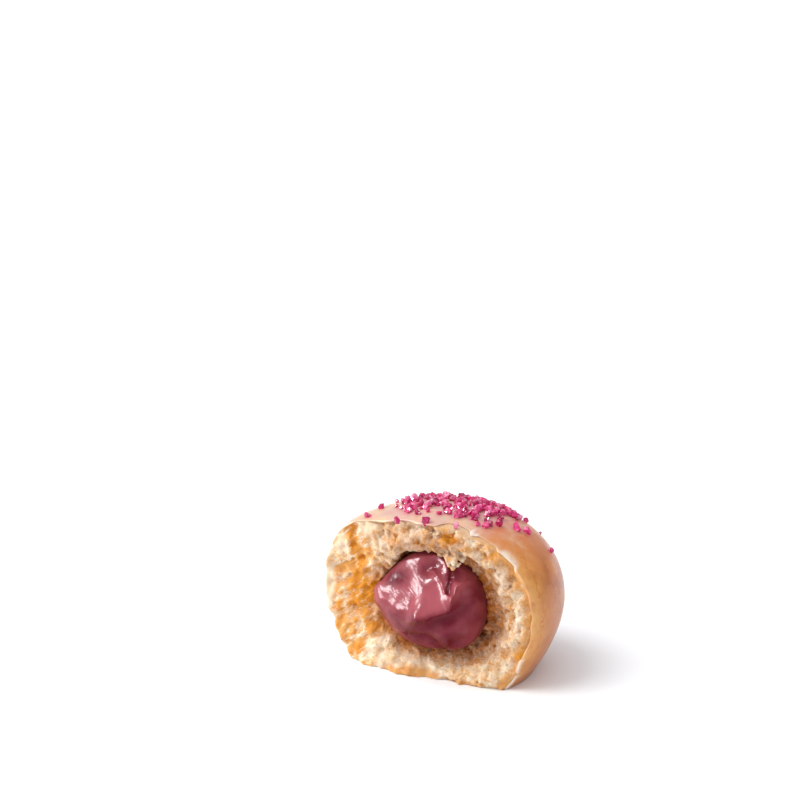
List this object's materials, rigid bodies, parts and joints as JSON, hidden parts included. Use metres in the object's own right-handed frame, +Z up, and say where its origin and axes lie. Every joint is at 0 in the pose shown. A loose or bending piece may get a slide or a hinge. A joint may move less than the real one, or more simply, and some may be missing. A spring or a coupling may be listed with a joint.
{
  "type": "doughnut hole",
  "caption": "Torn half of a filled, glazed doughnut hole: a flattened ball of fried dough with berry cream showing in the tear and coarse pink sugar on top.",
  "frame": {"origin": "on the table, under the middle of the part's box", "axes": "+Z up; the torn face with the cream looks along -Y; +X to the right of someone who looks at the torn face"},
  "size_m": [0.049, 0.037, 0.0342],
  "materials": {
    "dough": "fried yeast dough with a thin sugar glaze outside and pale open crumb on the torn face",
    "cream": "smooth wet berry cream"
  },
  "bodies": {
    "root": {"dough": "dough", "cream": "cream"}
  },
  "joints": []
}
